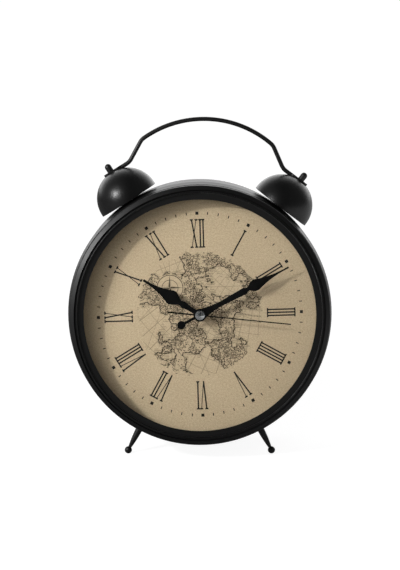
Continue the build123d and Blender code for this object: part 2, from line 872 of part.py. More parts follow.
# Bright domed cap over the middle of the hands
with BuildPart() as hand_cap:
    with BuildSketch(section):
        cap_top = cap_seat + cap_height
        cap_rise = cap_height - cap_edge
        dome_radius = (cap_radius**2 + cap_rise**2) / (2 * cap_rise)
        dome_span = math.degrees(math.asin(cap_radius / dome_radius))
        with BuildLine():
            CenterArc((0, cap_top - dome_radius), dome_radius, 90 - dome_span, dome_span)
            Polyline((0, cap_top), (0, cap_seat), (cap_radius, cap_seat), (cap_radius, cap_seat + cap_edge))
        make_face()
    revolve(axis=clock_axis)
keep(hand_cap, "hand_cap")

# Hour wheel with the tube that carries the hour hand
with BuildPart() as hour_wheel:
    with BuildSketch(face.offset(layer(0))):
        with BuildLine():
            Polyline(*tooth_outline(centre_point, hour_teeth, hour_module, hour_turn), close=True)
        make_face()
    extrude(amount=-gear_thickness)
    with BuildSketch(face.offset(layer(0))):
        Circle(hour_tube_radius)
    extrude(amount=hour_hand_height + hand_thickness - layer(0))
    with BuildSketch(face.offset(layer(0) - gear_thickness)):
        Circle(minute_tube_radius + running_fit)
    extrude(amount=hour_hand_height + hand_thickness - layer(0) + gear_thickness, mode=Mode.SUBTRACT)
keep(hour_wheel, "hour_wheel")

# Minute arbor: the tube for the minute hand, the cannon pinion and a journal for the centre wheel
with BuildPart() as minute_arbor:
    pinion_front = layer(1) + pinion_overlap
    pinion_back = layer(1) - gear_thickness - pinion_overlap
    journal_back = layer(2) - gear_thickness - free_gap
    with BuildSketch(face.offset(pinion_front)):
        Circle(minute_tube_radius)
    extrude(amount=minute_hand_height + hand_thickness - pinion_front)
    with BuildSketch(face.offset(pinion_front)):
        with BuildLine():
            Polyline(*tooth_outline(centre_point, cannon_teeth, motion_module, 0), close=True)
        make_face()
    extrude(amount=pinion_back - pinion_front)
    with BuildSketch(face.offset(pinion_back)):
        Circle(journal_radius)
    extrude(amount=journal_back - pinion_back)
    with BuildSketch(face.offset(journal_back)):
        Circle(arbor_radius + running_fit)
    extrude(amount=minute_hand_height + hand_thickness - journal_back, mode=Mode.SUBTRACT)
keep(minute_arbor, "minute_arbor")


def make_wheel(name, point, wheel, pinion, arbor, bore=0):
    """A wheel and a pinion on one arbor, each given as teeth, module, turn and layer."""
    with BuildPart() as geared:
        for teeth, module, turn, index, overlap in ((*wheel, 0), (*pinion, pinion_overlap)):
            with BuildSketch(face.offset(layer(index) + overlap)):
                with BuildLine():
                    Polyline(*tooth_outline(point, teeth, module, turn), close=True)
                make_face()
            extrude(amount=-gear_thickness - 2 * overlap)
        radius, front, back = arbor
        with BuildSketch(face.offset(front)):
            with Locations(point):
                Circle(radius)
        extrude(amount=back - front)
        if bore:
            with BuildSketch(face.offset(front)):
                with Locations(point):
                    Circle(bore)
            extrude(amount=back - front, mode=Mode.SUBTRACT)
    keep(geared, name)


pivot_front = inner_front + pivot_depth - slip_fit
pivot_back = inner_back - pivot_depth + slip_fit
plate_pivot_back = middle_plate_back + slip_fit
plate_pivot_front = middle_plate_front - slip_fit
make_wheel(
    "motion_wheel",
    motion_point,
    (motion_teeth, motion_module, motion_turn, 1),
    (motion_pinion_teeth, hour_module, 0, 0),
    (motion_tube_radius, layer(0) + pinion_overlap, layer(1) - gear_thickness),
    bore=arbor_radius + running_fit,
)
make_wheel(
    "third_wheel",
    third_point,
    (third_teeth, third_module, third_turn, 3),
    (third_pinion_teeth, centre_module, 0, 2),
    (arbor_radius, pivot_front, plate_pivot_back),
)
make_wheel(
    "second_wheel",
    centre_point,
    (second_teeth, second_module, 0, 4),
    (second_pinion_teeth, third_module, 0, 3),
    (arbor_radius, cap_seat, pivot_back),
)
make_wheel(
    "transfer_wheel",
    transfer_point,
    (transfer_teeth, rotor_module, 0, 5),
    (transfer_pinion_teeth, second_module, transfer_turn, 4),
    (arbor_radius, plate_pivot_front, pivot_back),
)

# Centre wheel, a friction fit on the minute arbor's journal
with BuildPart() as centre_wheel:
    with BuildSketch(face.offset(layer(2))):
        with BuildLine():
            Polyline(*tooth_outline(centre_point, centre_teeth, centre_module, centre_turn), close=True)
        make_face()
        Circle(journal_radius + running_fit, mode=Mode.SUBTRACT)
    extrude(amount=-gear_thickness)
keep(centre_wheel, "centre_wheel")

# Rotor of the stepping motor: an arbor with its pinion, and the magnet on it
with BuildPart() as rotor:
    with BuildSketch(face.offset(layer(5) + pinion_overlap)):
        with BuildLine():
            Polyline(*tooth_outline(rotor_point, rotor_pinion_teeth, rotor_module, rotor_turn), close=True)
        make_face()
    extrude(amount=-gear_thickness - 2 * pinion_overlap)
    with BuildSketch(face.offset(plate_pivot_front)):
        with Locations(rotor_point):
            Circle(arbor_radius)
    extrude(amount=pivot_back - plate_pivot_front)
keep(rotor, "rotor")

magnet_front = layer(4) + pinion_overlap
with BuildPart() as rotor_magnet:
    with BuildSketch(face.offset(magnet_front)):
        with Locations(rotor_point):
            Circle(magnet_radius)
            Circle(arbor_radius, mode=Mode.SUBTRACT)
    extrude(amount=-magnet_thickness)
keep(rotor_magnet, "rotor_magnet")

# Stator: a plate round the rotor with two legs up to the coil's core
with BuildPart() as stator:
    with BuildSketch(face.offset(layer(4))):
        bar_left = rotor_point[0] - stator_width / 2
        leg_top = coil_level + core_width / 2
        with Locations(rotor_point):
            Rectangle(stator_width, stator_bar)
            Circle(magnet_radius + stator_gap + stator_rim)
        for leg_middle in (bar_left + stator_bar / 2, bar_left + stator_width - stator_bar / 2):
            with Locations((leg_middle, (rotor_point[1] - stator_bar / 2 + leg_top) / 2)):
                Rectangle(stator_bar, leg_top - rotor_point[1] + stator_bar / 2)
        with Locations((rotor_point[0], coil_level)):
            Rectangle(stator_width, core_width)
        with Locations(rotor_point):
            Circle(magnet_radius + stator_gap, mode=Mode.SUBTRACT)
    extrude(amount=-gear_thickness)
keep(stator, "stator")

# Coil wound round the stator's core
coil_length = stator_width - 2 * stator_bar - 2 * slip_fit
core_middle = layer(4) - gear_thickness / 2
with BuildPart() as coil:
    coil_left = (rotor_point[0] - coil_length / 2, coil_level, 0)
    coil_start = face.offset(core_middle).from_local_coords(coil_left)
    coil_plane = Plane(coil_start, x_dir=face.z_dir, z_dir=face.x_dir)
    with BuildSketch(coil_plane):
        Circle(coil_radius)
        Rectangle(gear_thickness, core_width, mode=Mode.SUBTRACT)
    extrude(amount=coil_length)
keep(coil, "coil")

# Circuit board with its chip, and the quartz crystal on it
with BuildPart() as circuit_board:
    with BuildSketch(face.offset(board_front)):
        with Locations(board_place):
            RectangleRounded(board_width, board_height, movement_corner - movement_wall)
    extrude(amount=-board_thickness)
    with BuildSketch(face.offset(board_front - board_thickness)):
        with Locations((board_place[0], board_place[1] - board_height / 2 + chip_size / 2 + board_margin)):
            Rectangle(chip_size, chip_size)
    extrude(amount=-chip_thickness)
keep(circuit_board, "circuit_board")

with BuildPart() as quartz_crystal:
    crystal_level = board_place[1] + board_height / 2 - crystal_radius - board_margin
    crystal_start = face.offset(board_front - board_thickness - crystal_radius).from_local_coords(
        (board_place[0] - crystal_length / 2, crystal_level, 0)
    )
    with BuildSketch(Plane(crystal_start, x_dir=face.z_dir, z_dir=face.x_dir)):
        Circle(crystal_radius)
    extrude(amount=crystal_length)
keep(quartz_crystal, "quartz_crystal")

# Setting arbor with its pinion, and the knob on its rear end
with BuildPart() as setting_arbor:
    with BuildSketch(face.offset(layer(1) + pinion_overlap)):
        with BuildLine():
            Polyline(*tooth_outline(setting_point, setting_teeth, motion_module, setting_turn), close=True)
        make_face()
    extrude(amount=-gear_thickness - 2 * pinion_overlap)
    with BuildSketch(face.offset(pivot_front)):
        with Locations(setting_point):
            Circle(setting_arbor_radius)
    extrude(amount=housing_back - free_gap - knob_thickness / 2 - pivot_front)
keep(setting_arbor, "setting_arbor")

with BuildPart() as setting_knob:
    with BuildSketch(face.offset(housing_back - free_gap)):
        with Locations(setting_point):
            Circle(knob_radius)
            with PolarLocations(knob_radius, knob_grooves):
                Circle(knob_groove_radius, mode=Mode.SUBTRACT)
    extrude(amount=-knob_thickness)
    with BuildSketch(face.offset(housing_back - free_gap)):
        with Locations(setting_point):
            Circle(setting_arbor_radius)
    extrude(amount=-knob_thickness / 2, mode=Mode.SUBTRACT)
keep(setting_knob, "setting_knob")

# Battery lying across the bottom of the movement, and its two sprung contacts
battery_level = movement_wall + bay_height / 2 - movement_size / 2
battery_height = inner_front - free_gap - battery_radius
battery_end = contact_rise + seat_gap - bay_length / 2
battery_start = face.offset(battery_height).from_local_coords((battery_end, battery_level, 0))
battery_plane = Plane(battery_start, x_dir=face.z_dir, z_dir=face.x_dir)
with BuildPart() as battery:
    with BuildSketch(battery_plane):
        Circle(battery_radius)
    extrude(amount=battery_length)
    with BuildSketch(battery_plane.offset(battery_length)):
        Circle(nub_radius)
    extrude(amount=nub_length)
keep(battery, "battery")


def make_contact(name, side):
    """A contact plate on the bay's end wall, with a dimple that presses on the battery."""
    middle = face.offset(battery_height).from_local_coords((side * bay_length / 2, battery_level, 0))
    plane = Plane(middle, x_dir=face.z_dir, z_dir=-face.x_dir * side)
    with BuildPart() as contact:
        with BuildSketch(plane):
            Rectangle(contact_size, contact_size)
        extrude(amount=contact_thickness)
        with BuildSketch(plane):
            Circle(dimple_radius)
        extrude(amount=contact_rise)
    keep(contact, name)


make_contact("contact_positive", 1)
make_contact("contact_negative", -1)
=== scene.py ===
# %% [markdown]
# A black twin-bell table clock, dressed over its engineering model.
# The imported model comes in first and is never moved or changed.
# Everything made here is in the same frame, in metres, so a piece goes where the model says.

# %% Load the engineering model
import json
import math

import bmesh
import bpy
from mathutils import Matrix, Vector


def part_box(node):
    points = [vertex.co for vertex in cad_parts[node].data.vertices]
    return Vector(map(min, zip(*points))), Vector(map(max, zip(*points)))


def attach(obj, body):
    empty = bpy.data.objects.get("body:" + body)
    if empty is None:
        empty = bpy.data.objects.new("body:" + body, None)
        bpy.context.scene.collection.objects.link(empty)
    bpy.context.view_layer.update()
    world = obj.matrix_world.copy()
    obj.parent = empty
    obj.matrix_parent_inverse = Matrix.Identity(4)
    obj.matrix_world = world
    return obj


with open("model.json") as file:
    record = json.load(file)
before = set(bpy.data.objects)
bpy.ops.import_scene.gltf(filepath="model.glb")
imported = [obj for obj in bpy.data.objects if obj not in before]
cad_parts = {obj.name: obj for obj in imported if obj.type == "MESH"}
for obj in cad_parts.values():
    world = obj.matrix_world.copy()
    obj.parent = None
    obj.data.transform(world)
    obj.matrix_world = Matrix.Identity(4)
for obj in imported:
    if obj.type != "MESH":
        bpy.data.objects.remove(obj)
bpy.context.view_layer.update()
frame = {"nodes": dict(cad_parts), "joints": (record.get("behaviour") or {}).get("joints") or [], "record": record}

print("engineering model", len(frame["nodes"]), "nodes")

# %% [markdown]
# The dial leans back, so it is easiest to draw it in a frame of its own.
# The hands all turn on one axis.
# The minute hand's joint gives that axis and the middle of the dial's face.
# In the dial's frame x runs right, y up the dial and z out towards the reader, all in millimetres.

# %% The dial's own frame
mm = 0.001
minute_joint = next(joint for joint in frame["joints"] if joint["name"] == "minute_hand_turn")
outward = -Vector(minute_joint["axis"]).normalized()
rightward = Vector((1, 0, 0))
upward = outward.cross(rightward)
dial_middle = Vector(minute_joint["pos_m"])
dial_turn = Matrix((rightward, upward, outward)).transposed()
dial_to_row = Matrix.Translation(dial_middle) @ dial_turn.to_4x4() @ Matrix.Scale(mm, 4)


def heights(node):
    """A node's lowest and highest level on the clock's axis, in millimetres from the dial's face."""
    corners = [vertex.co for vertex in frame["nodes"][node].data.vertices]
    levels = [(corner - dial_middle).dot(outward) / mm for corner in corners]
    return min(levels), max(levels)


bezel_front = heights("bezel_ring")[1]
print("lean", round(math.degrees(math.asin(outward.z)), 2), "bezel front", round(bezel_front, 2))

# %% [markdown]
# Materials here are trees of small nodes, and long trees are hard to read as node calls.
# So one class stands for a wire in the tree, and Python's own operators add the Math nodes.
# A second class holds a tree, and one method of it makes any other node.
# A material is such a tree with one shader.


# %% A wire, a tree and a finish
class Wire:
    """A value in a shader tree, which can be used in sums."""

    def __init__(self, web, socket):
        self.web = web
        self.socket = socket

    def maths(self, operation, *others):
        return self.web.maths(operation, self, *others)

    def __add__(self, other):
        return self.maths("ADD", other)

    def __sub__(self, other):
        return self.maths("SUBTRACT", other)

    def __mul__(self, other):
        return self.maths("MULTIPLY", other)

    def __truediv__(self, other):
        return self.maths("DIVIDE", other)

    def __mod__(self, other):
        return self.maths("FLOORED_MODULO", other)

    def __lt__(self, other):
        return self.maths("LESS_THAN", other)

    def __gt__(self, other):
        return self.maths("GREATER_THAN", other)

    def __abs__(self):
        return self.maths("ABSOLUTE")

    def __rsub__(self, other):
        return self.web.maths("SUBTRACT", other, self)

    def __rtruediv__(self, other):
        return self.web.maths("DIVIDE", other, self)

    __radd__ = __add__
    __rmul__ = __mul__


class Web:
    """A shader tree of a material or of the world."""

    def __init__(self, tree):
        self.tree = tree

    def join(self, socket, value):
        if isinstance(value, Wire):
            self.tree.links.new(value.socket, socket)
        else:
            socket.default_value = value

    def node(self, kind, settings, sockets, output=0):
        made = self.tree.nodes.new(kind)
        for name, value in settings.items():
            setattr(made, name, value)
        for key, value in sockets.items():
            self.join(made.inputs[key], value)
        return Wire(self, made.outputs[output])

    def maths(self, operation, *values):
        return self.node("ShaderNodeMath", {"operation": operation}, dict(enumerate(values)))

    def mix(self, first, second, share):
        return self.node("ShaderNodeMix", {"data_type": "RGBA"}, {0: share, 6: first, 7: second}, 2)

    def split(self, vector):
        apart = self.tree.nodes.new("ShaderNodeSeparateXYZ")
        self.join(apart.inputs[0], vector)
        return [Wire(self, socket) for socket in apart.outputs]


class Finish(Web):
    """A material built on one Principled shader."""

    def __init__(self, name, **plain):
        self.material = bpy.data.materials.new(name)
        self.material.use_nodes = True
        super().__init__(self.material.node_tree)
        self.shader = self.tree.nodes["Principled BSDF"]
        for socket, value in plain.items():
            self.shader.inputs[socket.replace("_", " ")].default_value = value

    def feed(self, socket, value):
        self.join(self.shader.inputs[socket], value)

    def row_coords(self):
        return self.node("ShaderNodeTexCoord", {}, {}, "Object")

    def dial_coords(self, turn=0.0):
        """Coordinates in the dial's frame, in millimetres, turned clockwise by an angle in degrees."""
        spin = dial_turn @ Matrix.Rotation(-math.radians(turn), 3, "Z")
        sockets = {"Vector": self.row_coords(), "Location": dial_middle,
                   "Rotation": spin.to_euler(), "Scale": (mm, mm, mm)}
        return self.node("ShaderNodeMapping", {"vector_type": "TEXTURE"}, sockets)

    def shifted(self, vector, step):
        return self.node("ShaderNodeVectorMath", {"operation": "ADD"}, {0: vector, 1: step})

    def stretched(self, vector, factors):
        return self.node("ShaderNodeVectorMath", {"operation": "MULTIPLY"}, {0: vector, 1: factors})

    def noise(self, vector, scale, detail=2.0, roughness=0.5):
        sockets = {"Vector": vector, "Scale": scale, "Detail": detail, "Roughness": roughness}
        return self.node("ShaderNodeTexNoise", {}, sockets)

    def bump(self, height, distance, strength=1.0):
        sockets = {"Strength": strength, "Distance": distance, "Height": height}
        self.feed("Normal", self.node("ShaderNodeBump", {}, sockets))


# %% [markdown]
# The case, the bezel and the fittings are sprayed metal: black, half matt, with a fine dry grain.
# A grain of half a millimetre to one millimetre goes into the bump, and slow patches vary colour and gloss.
# The bells have the coarsest and deepest grain.

# %% Sprayed black paint
patches_per_metre = 38.0
patch_gloss = 0.12
grain_gloss = 0.1


def sprayed_black(name, shade, roughness, grain_size, grain_depth, shine):
    """Half-matt black paint, with the size and depth of its grain in millimetres."""
    finish = Finish(name, Specular_IOR_Level=shine)
    place = finish.row_coords()
    patches = finish.noise(place, patches_per_metre, 3.0)
    grain = finish.noise(place, 1 / (grain_size * mm), 3.0, 0.6)
    dark = (shade * 0.8, shade * 0.8, shade * 0.82, 1)
    light = (shade * 1.25, shade * 1.24, shade * 1.22, 1)
    finish.feed("Base Color", finish.mix(dark, light, grain * 0.6 + patches * 0.4))
    finish.feed("Roughness", roughness + (patches - 0.5) * patch_gloss + (grain - 0.5) * grain_gloss)
    finish.bump(grain, grain_depth * mm)
    return finish.material


case_paint = sprayed_black("case_paint", 0.0025, 0.43, 0.7, 0.02, 0.5)
bell_paint = sprayed_black("bell_paint", 0.003, 0.32, 1.1, 0.12, 0.5)
rod_paint = sprayed_black("rod_paint", 0.003, 0.42, 0.5, 0.015, 0.6)

# %% [markdown]
# Moulded plastic has a spark-eroded grain and no colour change to speak of.
# The same recipe serves the back cover, the movement, the rubber, the ivory wheels and the pale marks.

# %% Moulded plastic
flows_per_metre = 60.0


def moulded(name, colour, roughness, grain_size=0.35, grain_depth=0.03):
    """Moulded plastic with an even fine grain, sizes in millimetres."""
    finish = Finish(name)
    place = finish.row_coords()
    grain = finish.noise(place, 1 / (grain_size * mm), 2.0, 0.55)
    flow = finish.noise(place, flows_per_metre, 2.0)
    pale = tuple(min(1.0, part * 1.18) for part in colour)
    deep = tuple(part * 0.86 for part in colour)
    finish.feed("Base Color", finish.mix((*deep, 1), (*pale, 1), flow * 0.5 + grain * 0.5))
    finish.feed("Roughness", roughness + (grain - 0.5) * 0.16)
    finish.bump(grain, grain_depth * mm)
    return finish.material


cover_plastic = moulded("cover_plastic", (0.022, 0.022, 0.022), 0.55)
spacer_plastic = moulded("spacer_plastic", (0.02, 0.02, 0.02), 0.6)
movement_plastic = moulded("movement_plastic", (0.045, 0.045, 0.048), 0.48)
wheel_plastic = moulded("wheel_plastic", (0.72, 0.69, 0.58), 0.4, 0.5, 0.01)
gasket_rubber = moulded("gasket_rubber", (0.018, 0.018, 0.018), 0.8, 0.5, 0.02)
board_lacquer = moulded("board_lacquer", (0.03, 0.16, 0.07), 0.35, 0.8, 0.01)
pale_marks = moulded("pale_marks", (0.5, 0.5, 0.47), 0.6, 0.3, 0.01)

# %% [markdown]
# Turned and plated metal shows fine lines round its axis or along its length.
# Noise stretched across the lines gives them, and it feeds the roughness and a shallow bump.


# %% Bare metal
def worked_metal(name, colour, roughness, line_pitch=0.12, line_depth=0.006):
    """Bare metal with fine working lines, sizes in millimetres."""
    finish = Finish(name, Metallic=1.0)
    place = finish.dial_coords()
    lines = finish.noise(finish.stretched(place, (0.2, 1 / line_pitch, 1 / line_pitch)), 1.0, 2.0)
    stain = finish.noise(place, 0.4, 3.0)
    dull = tuple(part * 0.82 for part in colour)
    finish.feed("Base Color", finish.mix((*dull, 1), (*colour, 1), stain * 0.5 + lines * 0.5))
    finish.feed("Roughness", roughness + (lines - 0.5) * 0.2 + (stain - 0.5) * 0.1)
    finish.bump(lines, line_depth * mm)
    return finish.material


plated_steel = worked_metal("plated_steel", (0.62, 0.62, 0.6), 0.34)
turned_brass = worked_metal("turned_brass", (0.78, 0.57, 0.25), 0.3)
copper_wire = worked_metal("copper_wire", (0.75, 0.33, 0.16), 0.35, 0.25, 0.05)
cap_chrome = worked_metal("cap_chrome", (0.86, 0.87, 0.88), 0.09, 0.3, 0.001)

# %% [markdown]
# The lens is flat window glass. Cycles lets no lamp light straight through refracting glass,
# so for shadow rays alone the surface turns transparent, and the dial behind it stays lit.


# %% Clear glass
def clear_glass():
    finish = Finish("lens_glass", Roughness=0.0, IOR=1.45, Transmission_Weight=1.0)
    finish.shader.inputs["Base Color"].default_value = (0.97, 0.985, 0.98, 1)
    let_through = finish.node("ShaderNodeBsdfTransparent", {}, {"Color": (0.95, 0.965, 0.96, 1)})
    shadow_ray = finish.node("ShaderNodeLightPath", {}, {}, "Is Shadow Ray")
    glass = Wire(finish, finish.shader.outputs[0])
    surface = finish.node("ShaderNodeMixShader", {}, {0: shadow_ray, 1: glass, 2: let_through})
    finish.join(finish.tree.nodes["Material Output"].inputs["Surface"], surface)
    return finish.material


lens_glass = clear_glass()

# %% [markdown]
# The dial is printed card with a linen grain, beige, with an old-style chart in sepia in its middle.
# The chart is made up: its coasts are contour lines of a noise field, so no real map is drawn.
# A contour is found by comparing the field with itself a line's width away:
# where the two fall on different sides of a level, there is ink, and the line keeps an even width.
# On top come a net of arcs and rays, engraved hills, dots for towns and a compass rose.

# %% The printed dial
print_turn = -1.7
print_rise = -0.5
card_front = -0.3
chart_radius = 57.5
torn_edge = 14.0
shore = 0.49
shoal = 0.035
hill_levels = 15
ridge_level = 0.45
river_level = 0.5
border_level = 0.47
town_size = 0.15
# Each noise field has a pen width in millimetres, a scale, a detail and a seed.
land_field = (0.62, 0.03, 7.0, 131.7)
hill_field = (0.42, 0.12, 4.0, 57.3)
river_field = (0.45, 0.05, 6.0, 77.9)
border_field = (0.4, 0.045, 5.0, 31.3)
net_pole = (62.0, 78.0)
net_pen = 0.36
net_ring = 11.0
net_ray = math.radians(5.0)
net_reach = 90.0
dash_ring = 82.0
rose_place = (-27.0, 25.0)
rose_radius = 12.0
darkness = {
    "shading": 0.6,
    "hills": 0.85,
    "rivers": 0.8,
    "borders": 0.65,
    "towns": 0.95,
    "land": 0.06,
    "net": 0.5,
    "dashes": 0.8,
    "rays": 0.5,
    "rings": 0.9,
}
linen_contrast = 3.9
cloud_contrast = 0.6
linen_depth = 0.8


def either(first, second):
    return first.maths("MAXIMUM", second)


def contour(fields, level):
    """Ink where a field and its two shifted copies fall on different sides of a level."""
    here, right, above = [field > level for field in fields]
    return either(abs(here - right), abs(here - above))


def steps(fields, count):
    """Ink along every one of a number of evenly spaced levels."""
    here, right, above = [(field * count).maths("FLOOR") for field in fields]
    return either(abs(here - right), abs(here - above)) > 0.5


def field_copies(finish, place, width, scale, detail, seed):
    """A noise field, and the same field a line's width to the right and above."""
    spots = [(seed, seed, 0), (seed + width, seed, 0), (seed, seed + width, 0)]
    return [finish.noise(finish.shifted(place, spot), scale, detail, 0.55) for spot in spots]


def near_lines(value, pitch, width):
    """Ink within half a width of every whole multiple of a pitch."""
    return abs((value + pitch / 2) % pitch - pitch / 2) < width / 2


def chart_ink(finish, place):
    """How dark the chart's sepia is at a place of the dial's front, from 0 to 1."""
    x, y, z = finish.split(place)
    reach = (x * x + y * y).maths("SQRT")
    torn = reach + (finish.noise(place, 0.12, 4.0) - 0.5) * torn_edge
    sheet = (torn < chart_radius) * (z > card_front)

    land = field_copies(finish, place, *land_field)
    inland = land[0] > shore
    coast = contour(land, shore)
    inshore = (land[0] > shore - shoal) * (1 - inland)
    shading = near_lines(y, 1.5, 0.5) * inshore * darkness["shading"]

    hills = steps(field_copies(finish, place, *hill_field), hill_levels)
    ridges = finish.noise(finish.shifted(place, (9.1, 4.2, 0)), 0.06, 3.0) > ridge_level
    rivers = contour(field_copies(finish, place, *river_field), river_level)
    borders = contour(field_copies(finish, place, *border_field), border_level)
    plots = {"Vector": place, "Scale": 0.3}
    towns = finish.node("ShaderNodeTexVoronoi", {"voronoi_dimensions": "2D"}, plots) < town_size
    paths = either(rivers * darkness["rivers"], borders * darkness["borders"])
    heights_and_paths = either(hills * ridges * darkness["hills"], paths)
    drawn_land = either(heights_and_paths, either(towns * darkness["towns"], darkness["land"])) * inland

    from_pole_x = x - net_pole[0]
    from_pole_y = y - net_pole[1]
    pole_reach = (from_pole_x * from_pole_x + from_pole_y * from_pole_y).maths("SQRT")
    pole_angle = from_pole_y.maths("ARCTAN2", from_pole_x)
    net_rings = near_lines(pole_reach, net_ring, net_pen)
    net = either(net_rings, near_lines(pole_angle, net_ray, net_pen / net_reach)) * darkness["net"]
    dashes = near_lines(pole_angle, net_ray / 5, 0.8 / net_reach)
    dashes = dashes * (abs(pole_reach - dash_ring) < 0.7) * darkness["dashes"]

    rose_x = x - rose_place[0]
    rose_y = y - rose_place[1]
    rose_reach = (rose_x * rose_x + rose_y * rose_y).maths("SQRT")
    rose_angle = rose_y.maths("ARCTAN2", rose_x)
    from_ray = abs((rose_angle + math.pi / 16) % (math.pi / 8) - math.pi / 16)
    rays = (from_ray * rose_reach < 0.18) * darkness["rays"]
    eighth = abs((rose_angle + math.pi / 4) % (math.pi / 2) - math.pi / 4)
    star_edge = rose_radius * 0.3 / (0.3 + 2.2 * eighth)
    half_shade = (rose_angle % (math.pi / 2)) < math.pi / 4
    star = (rose_reach < star_edge) * (0.35 + half_shade * 0.6)
    inner_ring = abs(rose_reach - rose_radius * 0.62) < 0.25
    rings = either(inner_ring, abs(rose_reach - rose_radius) < 0.35) * darkness["rings"]
    rose_space = rose_reach < rose_radius + 1.0
    rose = either(star, rings) * rose_space

    sea_lines = either(either(net, dashes), rays) * (1 - inland)
    open_chart = either(either(coast, shading), either(drawn_land, sea_lines)) * (1 - rose_space)
    worn = 0.65 + finish.noise(place, 0.35, 3.0) * 0.7
    return (either(open_chart, rose) * sheet * worn).maths("MINIMUM", 1.0)


def printed_dial():
    finish = Finish("printed_dial", Specular_IOR_Level=0.25)
    place = finish.dial_coords(print_turn)
    pebbles = finish.noise(place, 0.6, 2.0, 0.6)
    fibre = finish.noise(finish.stretched(place, (0.5, 2.4, 1.0)), 1.0, 2.0)
    clouds = finish.noise(place, 0.03, 4.0)
    linen = pebbles * 0.6 + fibre * 0.4
    tone = (linen - 0.5) * linen_contrast + (clouds - 0.5) * cloud_contrast + 0.5
    paper = finish.mix((0.52, 0.39, 0.25, 1), (0.65, 0.505, 0.335, 1), tone)
    sepia = (0.03, 0.019, 0.01, 1)
    finish.feed("Base Color", finish.mix(paper, sepia, chart_ink(finish, place)))
    finish.feed("Roughness", 0.62 + (linen - 0.5) * 0.3)
    finish.bump(linen, linen_depth * mm)
    return finish.material


dial_print = printed_dial()
print("dial material", len(dial_print.node_tree.nodes), "nodes")

# %% [markdown]
# Black printing ink lies on the card as a very thin film, matt and a little uneven.
# The hands are stamped sheet, painted matt black.


# %% Ink and hand paint
def printing_ink():
    finish = Finish("printing_ink", Specular_IOR_Level=0.3)
    place = finish.dial_coords()
    cover = finish.noise(place, 2.2, 3.0)
    finish.feed("Base Color", finish.mix((0.006, 0.0045, 0.004, 1), (0.016, 0.012, 0.01, 1), cover))
    finish.feed("Roughness", 0.5 + cover * 0.3)
    return finish.material


ink = printing_ink()
hand_paint = sprayed_black("hand_paint", 0.0015, 0.55, 0.4, 0.01, 0.1)

# %% [markdown]
# The battery has a plain wrap: a dark body, a pale band near the raised end and bare steel at both ends.
# The bands are set by the place along the cell, which lies across the clock, so x alone decides them.

# %% Battery wrap
bare_end = 0.012
band_start = 0.74
band_end = 0.965


def battery_wrap():
    low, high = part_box("battery")
    finish = Finish("battery_wrap")
    place = finish.row_coords()
    x, _, _ = finish.split(place)
    along = (x - low.x) / (high.x - low.x)
    steel = either(along < bare_end, along > band_end)
    band = (along > band_start) * (along < band_end)
    fibre = finish.noise(place, 900.0, 2.0)
    body = finish.mix((0.02, 0.028, 0.04, 1), (0.03, 0.04, 0.055, 1), fibre)
    wrapped = finish.mix(body, (0.42, 0.43, 0.44, 1), band)
    finish.feed("Base Color", finish.mix(wrapped, (0.6, 0.6, 0.6, 1), steel))
    finish.feed("Metallic", steel)
    finish.feed("Roughness", 0.3 + fibre * 0.15)
    return finish.material


battery_skin = battery_wrap()

# %% [markdown]
# Each node of the engineering model takes the finish of its material slot.

# %% Dress the nodes
finishes = {
    "case_black": case_paint,
    "bell_black": bell_paint,
    "rod_black": rod_paint,
    "glass": lens_glass,
    "rubber": gasket_rubber,
    "spacer_plastic": spacer_plastic,
    "dial_card": dial_print,
    "cover_plastic": cover_plastic,
    "hand_black": hand_paint,
    "cap_chrome": cap_chrome,
    "movement_plastic": movement_plastic,
    "wheel_plastic": wheel_plastic,
    "brass": turned_brass,
    "steel": plated_steel,
    "copper": copper_wire,
    "board_green": board_lacquer,
    "battery_wrap": battery_skin,
}
for part in frame["record"]["subparts"]:
    node_mesh = frame["nodes"][part["node"]].data
    node_mesh.materials.clear()
    node_mesh.materials.append(finishes[part["material_slot"]])

# %% [markdown]
# The minute track is sixty marks on one circle: short strokes, and a small square at every fifth.
# Geometry Nodes place them: a circle of sixty points, two instance nodes that share them out by index,
# and a rotation that turns each mark to face the middle.


# %% A tree for the minute track
def add_tree(name, inputs):
    tree = bpy.data.node_groups.new(name, "GeometryNodeTree")
    for title in inputs:
        tree.interface.new_socket(title, in_out="INPUT", socket_type="NodeSocketFloat")
    tree.interface.new_socket("Geometry", in_out="OUTPUT", socket_type="NodeSocketGeometry")
    return tree, tree.nodes.new("NodeGroupInput"), tree.nodes.new("NodeGroupOutput")


def grow(tree, kind, settings, sockets):
    """A node of a geometry tree, with its settings and the values or links of its sockets."""
    made = tree.nodes.new(kind)
    for name, value in settings.items():
        setattr(made, name, value)
    for key, value in sockets.items():
        if isinstance(value, bpy.types.NodeSocket):
            tree.links.new(value, made.inputs[key])
        else:
            made.inputs[key].default_value = value
    return made


